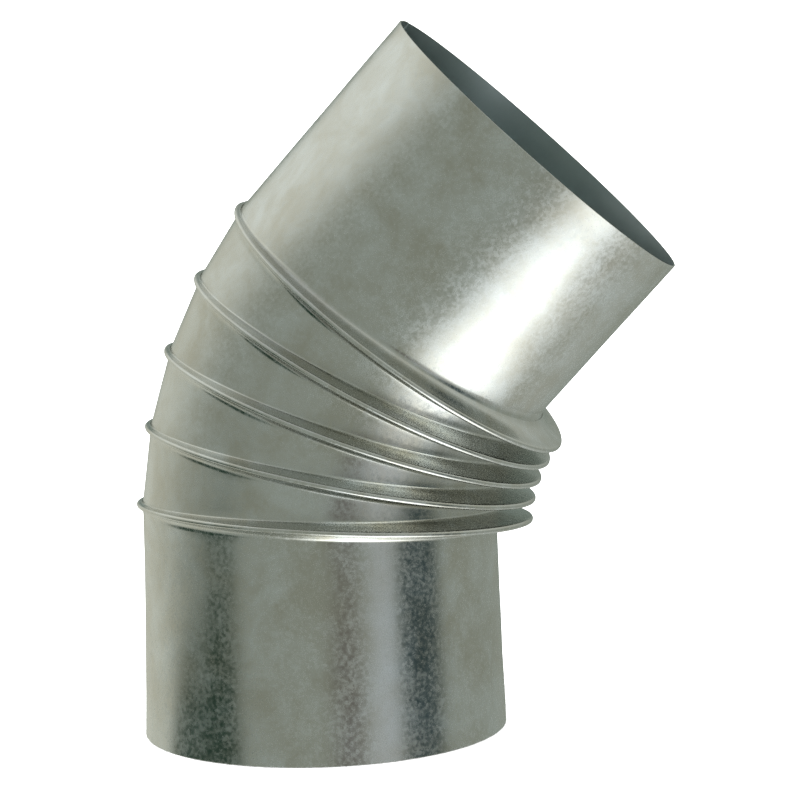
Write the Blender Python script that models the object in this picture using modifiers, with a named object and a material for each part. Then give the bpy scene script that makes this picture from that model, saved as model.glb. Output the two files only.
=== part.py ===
"""Pleated 45 degree flue elbow for a 150 mm pipe, in galvanised sheet.

Two straight collars and four wedge-shaped gores are joined end to end by five standing seams, the
pleats. Each pleat lies in a plane, tipped slightly toward the inlet at the heel, the outside of the
bend. It is a low bead there and grows into a deep fin at the throat, because all the pleats take up
the length that the throat doesn't need.
In a pleat the sheet below turns outward, runs up to the crest, is hooked over the edge of the sheet
above and comes down along it, close to the wall. Nothing moves: the seams are pressed tight.

Frame: +Z up along the inlet's axis, the bend leans toward +X, and the origin is in the middle of the
bottom of the bounding box. Metres and radians.
"""

from math import cos, hypot, pi, radians, sin, sqrt, tan

import bmesh
import bpy
from mathutils import Vector

# Driving dimensions
BODY_RADIUS = 0.0750        # outside of the pipe between the pleats
SHEET = 0.0006              # sheet thickness
BEND = radians(45.0)
PLEATS = 5
PLEAT_PITCH = 0.0223        # along the axis, from one pleat plane to the next
INLET_LENGTH = 0.0926       # along the axis, from the lower rim to the first pleat plane
OUTLET_LENGTH = 0.0932      # along the axis, from the last pleat plane to the upper rim
SOCKET_GROWTH = 0.0014      # the inlet is opened by this much in radius, to take the next pipe
SPIGOT_DRAW = 0.0012        # the outlet is drawn in by this much in radius, to enter the next pipe
RIM_LENGTH = 0.0040         # straight stretch at each rim
SOCKET_START = 0.62         # height at which the socket begins to open, as a share of the inlet

# The pleat's section. Each pair is the value at the heel and the value at the throat
CREST_HEIGHT = (0.0017, 0.0154)     # outside of the crest above the outside of the pipe
HEEL_SLIP = 0.0010                  # how much nearer to the inlet a pleat lies at the heel
HOOK_HALF_WIDTH = (0.0015, 0.00105)  # middle of the sheet, from the pleat plane to the hook's side
HOOK_ROUND = (0.0009, 0.00105)      # middle of the sheet, height of the hook's round top
LIP_END = (0.00065, 0.0018)         # height at which the hook's lip ends on the plain leaf
LOWER_ROOT = (0.0055, 0.0046)       # where the flank of the hooked leaf meets the wall
UPPER_ROOT = (0.0012, 0.0048)       # where the flank of the plain leaf meets the wall
LAST_ROOT = (0.0012, 0.0080)        # the same on the upper collar, which has room for a wider foot
FLANK_SPREAD = 0.42                 # how far a flank has spread where it eases into the wall
SEAM_GAP = 0.00035                  # room between the sheets in a pleat

ROUND_STEPS = 48            # facets round the pipe
HOOK_STEPS = 4              # facets round the hook's top
FLANK_STEPS = 3             # facets up each flank
LIP_STEPS = 2               # facets down the lip
FOOT_STEPS = 2              # facets from the lip's end down to the wall
SHARP_ANGLE = radians(35.0)

# Values that follow from the driving dimensions
WEDGE = BEND / PLEATS               # the bend that each pleat makes
MIDDLE_RADIUS = BODY_RADIUS - SHEET / 2
LEAN = tan(WEDGE / 2)               # slope of a wall against the normal of the plane between sections
PIPE_UP = Vector((0.0, 0.0, 1.0))
SIDEWAYS = Vector((0.0, 1.0, 0.0))

GALVANISED = (0.46, 0.48, 0.45)
ROUGHNESS = 0.36


def along(angle):
    """The pipe's direction where it has turned by angle."""
    return Vector((sin(angle), 0.0, cos(angle)))


def toward_throat(angle):
    """The direction square to the pipe, toward the inside of the bend."""
    return Vector((cos(angle), 0.0, -sin(angle)))


def radial(angle, turn):
    """A direction square to the pipe, at turn round it from the throat."""
    return toward_throat(angle) * cos(turn) + SIDEWAYS * sin(turn)


def pleat_angle(pleat):
    """The angle that the pipe has turned by at a pleat's plane."""
    return WEDGE * (pleat + 0.5)


def axis_chain():
    """The points of the pipe's axis: the lower rim, the five pleat planes and the upper rim."""
    points = [Vector((0.0, 0.0, 0.0))]
    points.append(points[0] + PIPE_UP * INLET_LENGTH)
    for section in range(1, PLEATS):
        points.append(points[-1] + along(WEDGE * section) * PLEAT_PITCH)
    points.append(points[-1] + along(BEND) * OUTLET_LENGTH)
    reach = points[-1].x + (BODY_RADIUS - SPIGOT_DRAW) * cos(BEND)
    back = BODY_RADIUS + max(SOCKET_GROWTH, CREST_HEIGHT[0])
    centring = Vector(((back - reach) / 2, 0.0, 0.0))
    return [point + centring for point in points]


AXIS = axis_chain()


def between(pair, turn):
    """A pleat's dimension at turn round the pipe, from its values at the heel and the throat."""
    heel, throat = pair
    return heel + (throat - heel) * (1 + cos(turn)) / 2


def pleat_point(pleat, turn, height, offset):
    """A point of a pleat: height above the middle of the wall, offset from the tipped plane."""
    angle = pleat_angle(pleat)
    offset -= HEEL_SLIP * (1 - cos(turn)) / 2
    centre = AXIS[pleat + 1] + along(angle) * offset + toward_throat(angle) * abs(offset) * LEAN
    return centre + radial(angle, turn) * (MIDDLE_RADIUS + height)


def flank(share, root, tip, top):
    """A point of a flank that spreads from the tip down to the root: height, offset, and steepness."""
    rest = 1 - share
    width = root - tip
    ease = width * FLANK_SPREAD
    height = top * rest ** 2
    offset = tip + 3 * rest * share ** 2 * ease + share ** 3 * width
    fall = 2 * top * rest
    slide = 6 * rest * share * ease + 3 * share ** 2 * (width - ease)
    return height, offset, fall / hypot(fall, slide)


def plain_tip(turn):
    """How far the plain leaf stands off the pleat plane, so that it lies along the hook's lip."""
    return between(HOOK_HALF_WIDTH, turn) - SHEET - SEAM_GAP


def shoulder_height(turn):
    """The height at which a flank ends and the hook's round top begins."""
    return between(CREST_HEIGHT, turn) - between(HOOK_ROUND, turn)


def lip_share(turn):
    """How far down the plain leaf's flank the hook's lip reaches."""
    return 1 - sqrt(between(LIP_END, turn) / shoulder_height(turn))


def upper_flank(pleat, turn, share):
    """A point of the plain leaf's flank, as flank gives it."""
    root = LAST_ROOT if pleat == PLEATS - 1 else UPPER_ROOT
    return flank(share, between(root, turn), plain_tip(turn), shoulder_height(turn))


def plain_leaf(pleat, turn):
    """The sheet above a pleat, from its free edge inside the hook down to the wall."""
    edge = between(CREST_HEIGHT, turn) - SHEET / 2 - SEAM_GAP
    points = [pleat_point(pleat, turn, edge, plain_tip(turn))]
    covered = lip_share(turn)
    shares = [covered * step / LIP_STEPS for step in range(LIP_STEPS)]
    shares += [covered + (1 - covered) * step / FOOT_STEPS for step in range(FOOT_STEPS + 1)]
    for share in shares:
        height, offset, steepness = upper_flank(pleat, turn, share)
        points.append(pleat_point(pleat, turn, height, offset))
    return points


def hooked_leaf(pleat, turn):
    """The sheet below a pleat: up from the wall, round the hook and down along the plain leaf."""
    side = between(HOOK_HALF_WIDTH, turn)
    top = between(HOOK_ROUND, turn)
    shoulder = shoulder_height(turn)
    points = []
    for step in range(FLANK_STEPS, 0, -1):
        share = step / FLANK_STEPS
        height, offset, steepness = flank(share, between(LOWER_ROOT, turn), side, shoulder)
        points.append(pleat_point(pleat, turn, height, -offset))
    for step in range(HOOK_STEPS + 1):
        swing = pi * step / HOOK_STEPS
        points.append(pleat_point(pleat, turn, shoulder + top * sin(swing), -side * cos(swing)))
    for step in range(1, LIP_STEPS + 1):
        share = lip_share(turn) * step / LIP_STEPS
        height, offset, steepness = upper_flank(pleat, turn, share)
        points.append(pleat_point(pleat, turn, height, offset + (SHEET + SEAM_GAP) / steepness))
    return points


def pipe_point(angle, centre, turn, growth):
    """A point of the middle of a round wall, wider than the body by growth."""
    return centre + radial(angle, turn) * (MIDDLE_RADIUS + growth)


def lower_collar_line(turn):
    """The inlet's section from the lower rim to the first pleat's hook."""
    rim = AXIS[0]
    line = [pipe_point(0.0, rim, turn, SOCKET_GROWTH)]
    line.append(pipe_point(0.0, rim + PIPE_UP * RIM_LENGTH, turn, SOCKET_GROWTH))
    line.append(pipe_point(0.0, rim + PIPE_UP * INLET_LENGTH * SOCKET_START, turn, 0.0))
    return line + hooked_leaf(0, turn)


def gore_line(gore, turn):
    """A gore's section from the edge in the pleat below it to its hook in the pleat above it."""
    return plain_leaf(gore - 1, turn) + hooked_leaf(gore, turn)


def upper_collar_line(turn):
    """The outlet's section from the edge in the last pleat to the upper rim."""
    line = plain_leaf(PLEATS - 1, turn)
    rim = AXIS[-1]
    line.append(pipe_point(BEND, rim - along(BEND) * RIM_LENGTH, turn, -SPIGOT_DRAW))
    line.append(pipe_point(BEND, rim, turn, -SPIGOT_DRAW))
    return line


def galvanised_material(name):
    """Bare zinc-coated steel."""
    material = bpy.data.materials.new(name)
    material.use_nodes = True
    shader = material.node_tree.nodes["Principled BSDF"]
    shader.inputs["Base Color"].default_value = (*GALVANISED, 1.0)
    shader.inputs["Metallic"].default_value = 1.0
    shader.inputs["Roughness"].default_value = ROUGHNESS
    return material


def sheet_ring(name, section_line, collection):
    """A closed ring of sheet, lofted through section_line(turn) all the way round the pipe."""
    mesh = bpy.data.meshes.new(name)
    form = bmesh.new()
    lines = []
    for step in range(ROUND_STEPS):
        points = section_line(2 * pi * step / ROUND_STEPS)
        lines.append([form.verts.new(point) for point in points])
    for this, following in zip(lines, lines[1:] + lines[:1]):
        for row in range(len(this) - 1):
            form.faces.new((this[row], following[row], following[row + 1], this[row + 1]))
    form.to_mesh(mesh)
    form.free()
    mesh.shade_smooth()
    mesh.set_sharp_from_angle(angle=SHARP_ANGLE)

    ring = bpy.data.objects.new(name, mesh)
    collection.objects.link(ring)
    mesh.materials.append(galvanised_material(name + "_zinc"))
    solidify = ring.modifiers.new("sheet", "SOLIDIFY")
    solidify.thickness = SHEET
    solidify.offset = 0.0
    solidify.use_even_offset = True
    return ring


def build():
    for leftover in list(bpy.data.objects):
        bpy.data.objects.remove(leftover, do_unlink=True)
    collection = bpy.data.collections.new("flue_elbow")
    bpy.context.scene.collection.children.link(collection)

    elbow = bpy.data.objects.new("flue_elbow_frame", None)
    collection.objects.link(elbow)
    rings = [sheet_ring("lower_collar", lower_collar_line, collection)]
    for gore in range(1, PLEATS):
        rings.append(sheet_ring(f"gore_{gore}", lambda turn, gore=gore: gore_line(gore, turn), collection))
    rings.append(sheet_ring("upper_collar", upper_collar_line, collection))
    for ring in rings:
        ring.parent = elbow


build()
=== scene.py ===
"""Looks of a pleated 45 degree flue elbow in bare galvanised sheet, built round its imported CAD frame."""

from math import cos, pi, radians, sin, tan

import bmesh
import bpy
import numpy as np
from mathutils import Matrix, Vector, noise


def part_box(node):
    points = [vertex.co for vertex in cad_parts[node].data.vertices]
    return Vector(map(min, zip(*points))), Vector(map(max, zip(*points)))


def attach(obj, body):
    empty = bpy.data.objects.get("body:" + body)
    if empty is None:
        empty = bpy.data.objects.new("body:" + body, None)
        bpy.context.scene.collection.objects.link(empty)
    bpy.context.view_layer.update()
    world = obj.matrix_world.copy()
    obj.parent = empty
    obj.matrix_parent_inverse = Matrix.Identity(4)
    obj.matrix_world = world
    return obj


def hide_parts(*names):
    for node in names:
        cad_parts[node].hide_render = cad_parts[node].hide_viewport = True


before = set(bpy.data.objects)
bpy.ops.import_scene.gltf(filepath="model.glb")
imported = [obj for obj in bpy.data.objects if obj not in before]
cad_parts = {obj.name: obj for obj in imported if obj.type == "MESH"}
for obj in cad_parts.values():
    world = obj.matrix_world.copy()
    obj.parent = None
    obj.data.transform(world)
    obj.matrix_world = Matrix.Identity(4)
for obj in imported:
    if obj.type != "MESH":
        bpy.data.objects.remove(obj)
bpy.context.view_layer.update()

# Driving dimensions of the elbow, in metres and radians. The pipe's are the CAD part's. The socket opens
# more softly here, and the hooks of the pleats are finer than the CAD's facets allow
BODY_RADIUS = 0.0750        # outside of the pipe between the pleats
SHEET = 0.0006              # sheet thickness
BEND = radians(45.0)
PLEATS = 5
PLEAT_PITCH = 0.0223        # along the axis, from one pleat plane to the next
INLET_LENGTH = 0.0926       # along the axis, from the lower rim to the first pleat plane
OUTLET_LENGTH = 0.0932      # along the axis, from the last pleat plane to the upper rim
SOCKET_GROWTH = 0.0014      # the inlet is opened by this much in radius
SPIGOT_DRAW = 0.0012        # the outlet is drawn in by this much in radius
RIM_LENGTH = 0.0040         # straight stretch at the upper rim

# How the socket opens: from this share of the inlet's height down to the rim, faster and faster
SOCKET_START = 0.80
SOCKET_CURVE = 1.3

# The pleat's section. Each pair is the value at the heel, outside the bend, and at the throat, inside it
CREST_HEIGHT = (0.0017, 0.0154)         # outside of the crest above the outside of the pipe
HOOK_HALF_WIDTH = (0.00068, 0.00092)    # middle of the sheet, from the pleat plane to the hook's side
HOOK_ROUND = (0.0009, 0.00092)          # middle of the sheet, height of the hook's round top
LIP_END = (0.00065, 0.0018)             # height at which the hook's lip ends on the plain leaf
LOWER_ROOT = (0.0055, 0.0046)           # half width of a pleat at the wall, on its lower side
UPPER_ROOT = (0.0011, 0.0046)           # and on its upper side
LAST_ROOT = (0.0011, 0.0080)            # the same on the upper collar, which has room for a wider foot
FLANK_SPREAD = 0.42                     # how far a flank has spread where it eases into the wall
HEEL_SLIP = 0.0010                      # how much nearer to the inlet a pleat lies at the heel

SEAM_GAP = 0.00030                      # from a sheet's free edge to the hook round it
PRESSED_GAP = 0.00002                   # between sheets that are pressed together
CUT_ROUND = 0.00010                     # rounding of the sheet's cut edges

# Unevenness of the sheet: depth in metres and waves per metre
WAVES = ((0.00011, 55.0), (0.00004, 19.0))

# The lock seam, a raised band along the back of every section. Turns are counted from the throat
SEAM_TURN = radians(188.0)
SEAM_WIDTH = 0.0070
SEAM_RISE = 0.00045
SEAM_EDGE = 0.0006                      # width of the step at each side of the band
SEAM_STEPS = (-2.0, -1.0, -0.5, 0.0, 0.5, 1.0, 2.0)     # points across a step, in half widths of it

# Fineness of the visible surface
TURN_STEPS = 320
FLANK_STEPS = 14
LIP_STEPS = 8
FOOT_STEPS = 8
HOOK_STEPS = 12
GORE_STEPS = 6
COLLAR_STEPS = 34
SHARP_TURN = radians(35.0)

# Values that follow from the driving dimensions
WEDGE = BEND / PLEATS                   # the bend that each pleat makes
MIDDLE_RADIUS = BODY_RADIUS - SHEET / 2
LEAN = tan(WEDGE / 2)                   # slope of a wall against the normal of the plane between sections

# The camera, level with the elbow's middle, beside it and a little toward the throat. Its lens and its
# sensor are in millimetres
CAMERA_PLACE = (0.2183, -0.6266, 0.1523)
CAMERA_YAW = radians(19.25)
CAMERA_PITCH = radians(-1.32)
CAMERA_ROLL = radians(-1.59)
CAMERA_LENS = 71.496
CAMERA_SENSOR = 36.0
CAMERA_CLIP = 0.01


def along(angle):
    """Direction of the pipe's axis where it has bent by the angle."""
    return np.array((sin(angle), 0.0, cos(angle)))


def toward_throat(angle):
    """Direction from the axis to the inside of the bend, in the same place."""
    return np.array((cos(angle), 0.0, -sin(angle)))


SIDEWAYS = np.array((0.0, 1.0, 0.0))


def axis_chain():
    """The points of the pipe's axis, placed so that the upper rim reaches as far as the CAD's does."""
    points = [np.zeros(3), np.array((0.0, 0.0, INLET_LENGTH))]
    for section in range(1, PLEATS):
        points.append(points[-1] + along(WEDGE * section) * PLEAT_PITCH)
    points.append(points[-1] + along(BEND) * OUTLET_LENGTH)
    reach = points[-1][0] + (BODY_RADIUS - SPIGOT_DRAW) * cos(BEND)
    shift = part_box("upper_collar")[1].x - reach
    return [point + np.array((shift, 0.0, 0.0)) for point in points]


AXIS = axis_chain()


def turn_steps():
    """Turns round the pipe: even steps, with closer ones at the seam's two edges."""
    turns = list(np.linspace(0.0, 2 * pi, TURN_STEPS, endpoint=False))
    half = SEAM_WIDTH / 2 / BODY_RADIUS
    close = SEAM_EDGE / 2 / BODY_RADIUS
    for edge in (SEAM_TURN - half, SEAM_TURN + half):
        turns = [turn for turn in turns if abs(turn - edge) > 3 * close]
        turns += [edge + close * step for step in SEAM_STEPS]
    return np.array(sorted(turns))


TURNS = turn_steps()


def between(pair):
    """A pleat's dimension all round the pipe, from its values at the heel and at the throat."""
    heel, throat = pair
    return heel + (throat - heel) * (1 + np.cos(TURNS)) / 2


def radial(angle):
    """Directions square to the pipe, one for each turn."""
    return np.outer(np.cos(TURNS), toward_throat(angle)) + np.outer(np.sin(TURNS), SIDEWAYS)


def pleat_row(pleat, height, offset):
    """A ring of points in a pleat: height above the middle of the wall, offset along its normal."""
    angle = WEDGE * (pleat + 0.5)
    offset = np.broadcast_to(offset, TURNS.shape) - HEEL_SLIP * (1 - np.cos(TURNS)) / 2
    height = np.broadcast_to(height, TURNS.shape)
    centre = AXIS[pleat + 1] + np.outer(offset, along(angle))
    centre = centre + np.outer(np.abs(offset) * LEAN, toward_throat(angle))
    return centre + radial(angle) * (MIDDLE_RADIUS + height)[:, None]


def unit(vectors):
    """The vectors scaled to a length of 1."""
    return vectors / np.linalg.norm(vectors, axis=-1, keepdims=True)


def sheet_directions(rows):
    """Along the rows, and square to the sheet: the second stretched at bends to keep its thickness."""
    steps = unit(np.diff(rows, axis=0))
    before = np.concatenate([steps[:1], steps])
    after = np.concatenate([steps, steps[-1:]])
    forth = unit(before + after)
    stretch = np.sqrt((1 + (before * after).sum(-1, keepdims=True)) / 2)
    around = np.roll(rows, -1, 1) - np.roll(rows, 1, 1)
    return forth, unit(np.cross(around, forth)) / stretch


def flank(share, root, tip, top):
    """A point of a flank that spreads from the tip down to the root: height, offset, and steepness."""
    rest = 1 - share
    width = root - tip
    ease = width * FLANK_SPREAD
    height = top * rest ** 2
    offset = tip + 3 * rest * share ** 2 * ease + share ** 3 * width
    fall = 2 * top * rest
    slide = 6 * rest * share * ease + 3 * share ** 2 * (width - ease)
    return height, offset, fall / np.hypot(fall, slide)


SHOULDER = between(CREST_HEIGHT) - between(HOOK_ROUND)
PLAIN_TIP = between(HOOK_HALF_WIDTH) - SHEET - PRESSED_GAP
LIP_SHARE = 1 - np.sqrt(between(LIP_END) / SHOULDER)


def upper_flank(pleat, share):
    """A ring of the plain leaf's flank, as flank gives it."""
    root = LAST_ROOT if pleat == PLEATS - 1 else UPPER_ROOT
    return flank(share, between(root), PLAIN_TIP, SHOULDER)


def plain_leaf(pleat):
    """Rows of the sheet above a pleat, from its free edge in the hook down to the wall."""
    rows = [pleat_row(pleat, between(CREST_HEIGHT) - SHEET / 2 - SEAM_GAP, PLAIN_TIP)]
    shares = [LIP_SHARE * step / LIP_STEPS for step in range(LIP_STEPS)]
    shares += [LIP_SHARE + (1 - LIP_SHARE) * step / FOOT_STEPS for step in range(FOOT_STEPS + 1)]
    for share in shares:
        height, offset, _ = upper_flank(pleat, share)
        rows.append(pleat_row(pleat, height, offset))
    return rows


def hooked_leaf(pleat):
    """Rows of the sheet below a pleat: up from the wall, round the crest and down over the plain leaf."""
    side = between(HOOK_HALF_WIDTH)
    top = between(HOOK_ROUND)
    rows = []
    for step in range(FLANK_STEPS, 0, -1):
        height, offset, _ = flank(step / FLANK_STEPS, between(LOWER_ROOT), side, SHOULDER)
        rows.append(pleat_row(pleat, height, -offset))
    for step in range(HOOK_STEPS + 1):
        swing = pi * step / HOOK_STEPS
        rows.append(pleat_row(pleat, SHOULDER + top * sin(swing), -side * cos(swing)))
    for step in range(1, LIP_STEPS + 1):
        height, offset, steepness = upper_flank(pleat, LIP_SHARE * step / LIP_STEPS)
        rows.append(pleat_row(pleat, height, offset + (SHEET + PRESSED_GAP) / steepness))
    return rows


def wall(first, last, steps):
    """Rows between two rings, without the rings themselves."""
    rows = []
    for step in range(1, steps):
        share = step / steps
        rows.append(first * (1 - share) + last * share)
    return rows


def collar_ring(angle, centre, growth):
    """A ring square to the pipe, grown by this much in radius."""
    return centre + radial(angle) * (MIDDLE_RADIUS + growth)


def lower_collar_rows():
    """The lower collar, which opens smoothly into a socket."""
    foot = hooked_leaf(0)
    rim = collar_ring(0.0, AXIS[0], 0.0)
    out = radial(0.0)
    grown = []
    for row in [rim] + wall(rim, foot[0], COLLAR_STEPS):
        share = np.clip(row[:, 2] / (INLET_LENGTH * SOCKET_START), 0, 1)
        opening = (1 - share) ** SOCKET_CURVE
        grown.append(row + out * (SOCKET_GROWTH * opening)[:, None])
    return grown + foot


def gore_rows(gore):
    """A gore, from its leaf in the pleat below to its hook in the pleat above."""
    below = plain_leaf(gore - 1)
    above = hooked_leaf(gore)
    return below + wall(below[-1], above[0], GORE_STEPS) + above


def upper_collar_rows():
    """The upper collar, which narrows evenly into a spigot with a straight rim."""
    below = plain_leaf(PLEATS - 1)
    rim = collar_ring(BEND, AXIS[-1], -SPIGOT_DRAW)
    last = collar_ring(BEND, AXIS[-1] - along(BEND) * RIM_LENGTH, -SPIGOT_DRAW)
    return below + wall(below[-1], last, COLLAR_STEPS) + [last, rim]


def uneven(rows):
    """The rows with the sheet's slight waves and its raised lock seam."""
    rows = np.array(rows)
    out = rows - rows.mean(axis=1, keepdims=True)
    out /= np.linalg.norm(out, axis=2, keepdims=True)
    across = np.abs((TURNS - SEAM_TURN) * BODY_RADIUS)
    seam = np.clip((SEAM_WIDTH / 2 - across) / SEAM_EDGE + 0.5, 0.0, 1.0)
    rise = np.tile(SEAM_RISE * seam, (len(rows), 1))
    flat = rows.reshape(-1, 3)
    for depth, waves in WAVES:
        heave = [noise.noise(Vector(point) * waves) for point in flat]
        rise += depth * np.array(heave).reshape(rise.shape)
    return rows + out * rise[:, :, None]


def sheet_rings(rows):
    """Rings all round the section of a sheet of even thickness whose middle runs through the rows."""
    forth, out = sheet_directions(rows)
    half = SHEET / 2
    outer = rows + out * half
    inner = rows - out * half
    ends = []
    for end, way in ((0, -1), (-1, 1)):
        pull = forth[end] * CUT_ROUND * way
        outer[end] -= pull
        inner[end] -= pull
        ends.append([rows[end] + out[end] * (half - CUT_ROUND), rows[end] - out[end] * (half - CUT_ROUND)])
    first, last = ends
    return np.concatenate([outer, last, inner[::-1], first[::-1]]), len(outer)


def ring_mesh(name, rows):
    """A section as a closed sheet of even thickness, with its own coat on the inside, whose teal tint is a
    painted reflection of the dim light inside the pipe.
    """
    rings, outer_count = sheet_rings(uneven(rows))
    count, around = rings.shape[:2]
    here = np.arange(count * around).reshape(count, around)
    there = np.roll(here, -1, 0)
    faces = np.stack([here, np.roll(here, -1, 1), np.roll(there, -1, 1), there], -1)
    mesh = bpy.data.meshes.new(name)
    mesh.from_pydata(rings.reshape(-1, 3).tolist(), [], faces.reshape(-1, 4).tolist())
    for coat in COATS:
        mesh.materials.append(coat)
    # The bands between rings: outside, three round the last cut edge, inside, three round the first
    inside = np.zeros((count, around), dtype=np.int32)
    inside[outer_count + 2:-3] = 1
    mesh.polygons.foreach_set("material_index", inside.ravel())
    mesh.shade_smooth()
    mesh.set_sharp_from_angle(angle=SHARP_TURN)
    ring = bpy.data.objects.new(name, mesh)
    bpy.context.scene.collection.objects.link(ring)
    return ring


def node_maker(tree):
    """A function that adds a shader node, sets its properties, and sets or links its inputs."""
    def make(kind, inputs=(), **settings):
        node = tree.nodes.new(kind)
        for name, value in settings.items():
            setattr(node, name, value)
        for name, value in dict(inputs).items():
            if isinstance(value, bpy.types.NodeSocket):
                tree.links.new(value, node.inputs[name])
            else:
                node.inputs[name].default_value = value
        return node
    return make


def math_maker(make):
    """A function that adds a maths node and returns its result."""
    def calc(operation, *values):
        node = make("ShaderNodeMath", enumerate(values), operation=operation)
        return node.outputs[0]
    return calc


# The zinc's three sizes of grain: scale, detail, roughness and distortion of each
SPANGLE_GRAIN = (620.0, 2.0, 0.55, 0.0)
PATCH_GRAIN = (110.0, 2.0, 0.55, 0.4)
CLOUD_GRAIN = (38.0, 3.0, 0.6, 0.6)

# How much the spangle, the patches and the clouds count in frost, tone and relief, and the stretch of
# the sum over which frost and tone go from their least to their most
FROST_SHARES = (1.0, 0.4, 0.0)
FROST_RANGE = (0.46, 0.94)
TONE_SHARES = (0.22, 0.23, 0.55)
TONE_RANGE = (0.38, 0.62)
RELIEF_SHARES = (0.35, 1.0, 0.0)


def zinc(name, dull, bright, polished, frosted, relief_depth):
    """Bare zinc coat: glossy metal with a fine frosted spangle and soft clouds of tone.

    The tone goes from dull to bright and the roughness from polished to frosted.
    """
    material = bpy.data.materials.new(name)
    material.use_nodes = True
    tree = material.node_tree
    make = node_maker(tree)
    calc = math_maker(make)
    shader = tree.nodes["Principled BSDF"]
    place = make("ShaderNodeTexCoord").outputs["Object"]

    def grain(scale, detail, roughness, distortion):
        return make("ShaderNodeTexNoise", {"Vector": place, "Scale": scale, "Detail": detail,
                    "Roughness": roughness, "Distortion": distortion}).outputs["Fac"]

    def weighed(spangle_share, patch_share, cloud_share):
        total = calc("MULTIPLY", spangle, spangle_share)
        total = calc("MULTIPLY_ADD", patches, patch_share, total)
        return calc("MULTIPLY_ADD", clouds, cloud_share, total)

    spangle = grain(*SPANGLE_GRAIN)
    patches = grain(*PATCH_GRAIN)
    clouds = grain(*CLOUD_GRAIN)

    least, most = FROST_RANGE
    roughness = make("ShaderNodeMapRange", {"Value": weighed(*FROST_SHARES), "From Min": least,
                     "From Max": most, "To Min": polished, "To Max": frosted})
    tree.links.new(roughness.outputs["Result"], shader.inputs["Roughness"])

    tone = make("ShaderNodeValToRGB", {"Fac": weighed(*TONE_SHARES)})
    for stop, position, colour in zip(tone.color_ramp.elements, TONE_RANGE, (dull, bright)):
        stop.position = position
        stop.color = (*colour, 1.0)
    tree.links.new(tone.outputs["Color"], shader.inputs["Base Color"])

    bump = make("ShaderNodeBump", {"Height": weighed(*RELIEF_SHARES), "Strength": 1.0,
                "Distance": relief_depth})
    tree.links.new(bump.outputs["Normal"], shader.inputs["Normal"])
    shader.inputs["Metallic"].default_value = 1.0
    return material


# Outside first, then inside, as ring_mesh counts them. The inside is the same zinc, tinted teal as a
# painted reflection of the dim light inside the pipe
COATS = (
    zinc("zinc_outside", (0.498, 0.494, 0.442), (0.624, 0.651, 0.645), 0.15, 0.35, 0.000025),
    zinc("zinc_inside_painted_reflection", (0.495, 0.570, 0.578), (0.535, 0.610, 0.618), 0.30, 0.32, 0.000005),
)


def sections():
    """The rows of every section, by the name of its node."""
    made = {"lower_collar": lower_collar_rows()}
    for gore in range(1, PLEATS):
        made[f"gore_{gore}"] = gore_rows(gore)
    made["upper_collar"] = upper_collar_rows()
    return made


for node, rows in sections().items():
    piece = ring_mesh(node + "_sheet", rows)
    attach(piece, "root")
    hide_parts(node)


def make_camera():
    """The camera, turned by its yaw, then its pitch, then its roll."""
    camera = bpy.data.objects.new("camera", bpy.data.cameras.new("camera"))
    bpy.context.scene.collection.objects.link(camera)
    camera.data.sensor_width = CAMERA_SENSOR
    camera.data.lens = CAMERA_LENS
    yaw, pitch, roll = CAMERA_YAW, CAMERA_PITCH, CAMERA_ROLL
    forward = Vector((-sin(yaw) * cos(pitch), cos(yaw) * cos(pitch), sin(pitch)))
    right = Vector((cos(yaw), sin(yaw), 0.0))
    up = right.cross(forward)
    rolled_right = right * cos(roll) + up * sin(roll)
    rolled_up = up * cos(roll) - right * sin(roll)
    turn = Matrix((rolled_right, rolled_up, -forward)).transposed()
    camera.matrix_world = Matrix.Translation(CAMERA_PLACE) @ turn.to_4x4()
    camera.data.clip_start = CAMERA_CLIP
    bpy.context.scene.camera = camera


make_camera()

# What the sheet reflects: a studio of soft light and dark patches, each laid over the ones before it. A
# row holds a patch's azimuth, height, half width and half height in degrees, its softness and its tone.
# Azimuth 0 is toward -Y and 90 toward +X. A patch fades between 1 - softness and 1 + softness of its size
SURROUND = (0.365, 0.395, 0.350)
DARK_GREEN = (0.02, 0.050, 0.035)
PATCHES = (
    (-116.0, 0.0, 35.0, 400.0, 0.80, (0.70, 0.71, 0.62)),       # light wall on the left
    (-161.0, 12.0, 22.0, 30.0, 0.50, (0.20, 0.25, 0.22)),       # shade behind the elbow
    (0.0, 90.0, 400.0, 40.0, 0.70, (0.58, 0.60, 0.58)),         # ceiling
    (-98.0, 47.0, 56.0, 22.0, 0.65, (0.98, 1.00, 0.93)),        # light high on the left
    (117.0, 36.0, 60.0, 30.0, 0.70, (0.66, 0.68, 0.62)),        # light high on the right
    (147.0, -49.0, 60.0, 24.0, 0.50, (0.54, 0.57, 0.53)),       # floor behind, on the right
    (56.0, -27.0, 16.0, 14.0, 0.60, (0.60, 0.61, 0.60)),        # glow above the bright table
    (-62.0, -20.5, 32.0, 10.6, 0.14, DARK_GREEN),               # dark band low on the left
    (-45.0, -16.0, 16.0, 10.0, 0.20, DARK_GREEN),               # its narrow top
    (-5.0, -12.0, 28.5, 24.0, 0.12, SURROUND),                  # its cut-off in front
    (57.0, -73.0, 62.0, 30.3, 0.54, (3.1, 3.15, 3.12)),         # bright table, which makes the white stripe
    (100.0, -37.0, 22.0, 14.0, 0.60, (0.42, 0.44, 0.41)),       # right end of the table, dimmer
    (35.0, -14.5, 9.0, 9.0, 0.60, (0.18, 0.17, 0.16)),          # brown shade
    (59.0, -10.5, 8.0, 10.0, 0.60, (0.56, 0.60, 0.63)),         # light gap beside it
    (84.0, -10.0, 14.5, 13.0, 0.35, (0.05, 0.08, 0.09)),        # dark blue shade
)

# Which of a Mix node's inputs and outputs are its colours
MIX_FIRST_COLOUR = 6
MIX_SECOND_COLOUR = 7
MIX_RESULT_COLOUR = 2

DOME_RADIUS = 3.0
DOME_PLACE = (0.0, 0.0, 0.15)
DOME_FINENESS = 4

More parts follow.
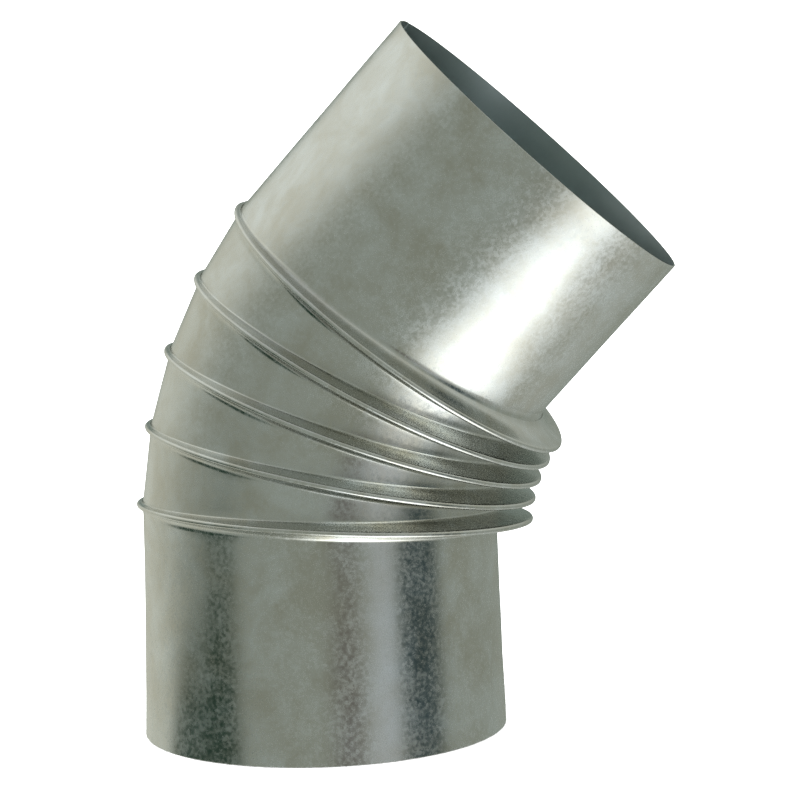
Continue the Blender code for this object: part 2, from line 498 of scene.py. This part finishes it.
# The plain floor, a hair below the rim that stands on it, and the white light all round
FLOOR_RADIUS = 8.0
FLOOR_SIDES = 64
FLOOR_DROP = 0.0003
FLOOR_WHITE = (0.95, 0.95, 0.95, 1.0)
WORLD_WHITE = (1.0, 1.0, 1.0, 1.0)
WORLD_STRENGTH = 2.4


def studio_dome():
    """A sphere of soft light and dark patches that only the sheet's reflections see."""
    form = bmesh.new()
    bmesh.ops.create_icosphere(form, subdivisions=DOME_FINENESS, radius=DOME_RADIUS)
    mesh = bpy.data.meshes.new("studio_dome")
    form.to_mesh(mesh)
    form.free()
    dome = bpy.data.objects.new("studio_dome", mesh)
    dome.location = DOME_PLACE
    bpy.context.scene.collection.objects.link(dome)
    dome.visible_camera = False
    dome.visible_diffuse = False
    dome.visible_shadow = False
    mesh.materials.append(studio_light())


def studio_light():
    """The dome's material: the surround's tone, with the patches laid over it in turn."""
    material = bpy.data.materials.new("studio_light")
    material.use_nodes = True
    material.cycles.emission_sampling = "NONE"
    tree = material.node_tree
    tree.nodes.clear()
    make = node_maker(tree)
    calc = math_maker(make)
    place = make("ShaderNodeTexCoord").outputs["Object"]
    direction = make("ShaderNodeVectorMath", {0: place}, operation="NORMALIZE").outputs[0]
    split = make("ShaderNodeSeparateXYZ", {0: direction}).outputs
    azimuth = calc("DEGREES", calc("ARCTAN2", split["X"], calc("MULTIPLY", split["Y"], -1.0)))
    height = calc("DEGREES", calc("ARCSINE", split["Z"]))
    surround = make("ShaderNodeRGB")
    surround.outputs[0].default_value = (*SURROUND, 1.0)
    shown = surround.outputs[0]
    for centre, level, half_width, half_height, softness, tone in PATCHES:
        across = calc("WRAP", calc("SUBTRACT", azimuth, centre), 180.0, -180.0)
        across = calc("DIVIDE", across, half_width)
        upward = calc("DIVIDE", calc("SUBTRACT", height, level), half_height)
        square = calc("MULTIPLY_ADD", across, across, calc("MULTIPLY", upward, upward))
        inside = make("ShaderNodeMapRange", {"Value": calc("SQRT", square), "From Min": 1 - softness,
                      "From Max": 1 + softness, "To Min": 1.0, "To Max": 0.0},
                      interpolation_type="SMOOTHSTEP")
        blend = make("ShaderNodeMix", {"Factor": inside.outputs["Result"]}, data_type="RGBA")
        tree.links.new(shown, blend.inputs[MIX_FIRST_COLOUR])
        blend.inputs[MIX_SECOND_COLOUR].default_value = (*tone, 1.0)
        shown = blend.outputs[MIX_RESULT_COLOUR]
    glow = make("ShaderNodeEmission", {"Color": shown})
    make("ShaderNodeOutputMaterial", {"Surface": glow.outputs[0]})
    return material


def white_floor():
    """A plain white disc, which the sheet's reflections don't see."""
    form = bmesh.new()
    bmesh.ops.create_circle(form, cap_ends=True, segments=FLOOR_SIDES, radius=FLOOR_RADIUS)
    mesh = bpy.data.meshes.new("floor")
    form.to_mesh(mesh)
    form.free()
    floor = bpy.data.objects.new("floor", mesh)
    floor.location = (0.0, 0.0, -FLOOR_DROP)
    bpy.context.scene.collection.objects.link(floor)
    floor.visible_glossy = False
    material = bpy.data.materials.new("floor_white")
    material.use_nodes = True
    shader = material.node_tree.nodes["Principled BSDF"]
    shader.inputs["Base Color"].default_value = FLOOR_WHITE
    shader.inputs["Roughness"].default_value = 1.0
    shader.inputs["Specular IOR Level"].default_value = 0.0
    mesh.materials.append(material)


def white_world():
    """Even white light from all round."""
    world = bpy.data.worlds.new("world")
    world.use_nodes = True
    background = world.node_tree.nodes["Background"]
    background.inputs["Color"].default_value = WORLD_WHITE
    background.inputs["Strength"].default_value = WORLD_STRENGTH
    bpy.context.scene.world = world


studio_dome()
white_floor()
white_world()
bpy.context.scene.view_settings.view_transform = "Standard"
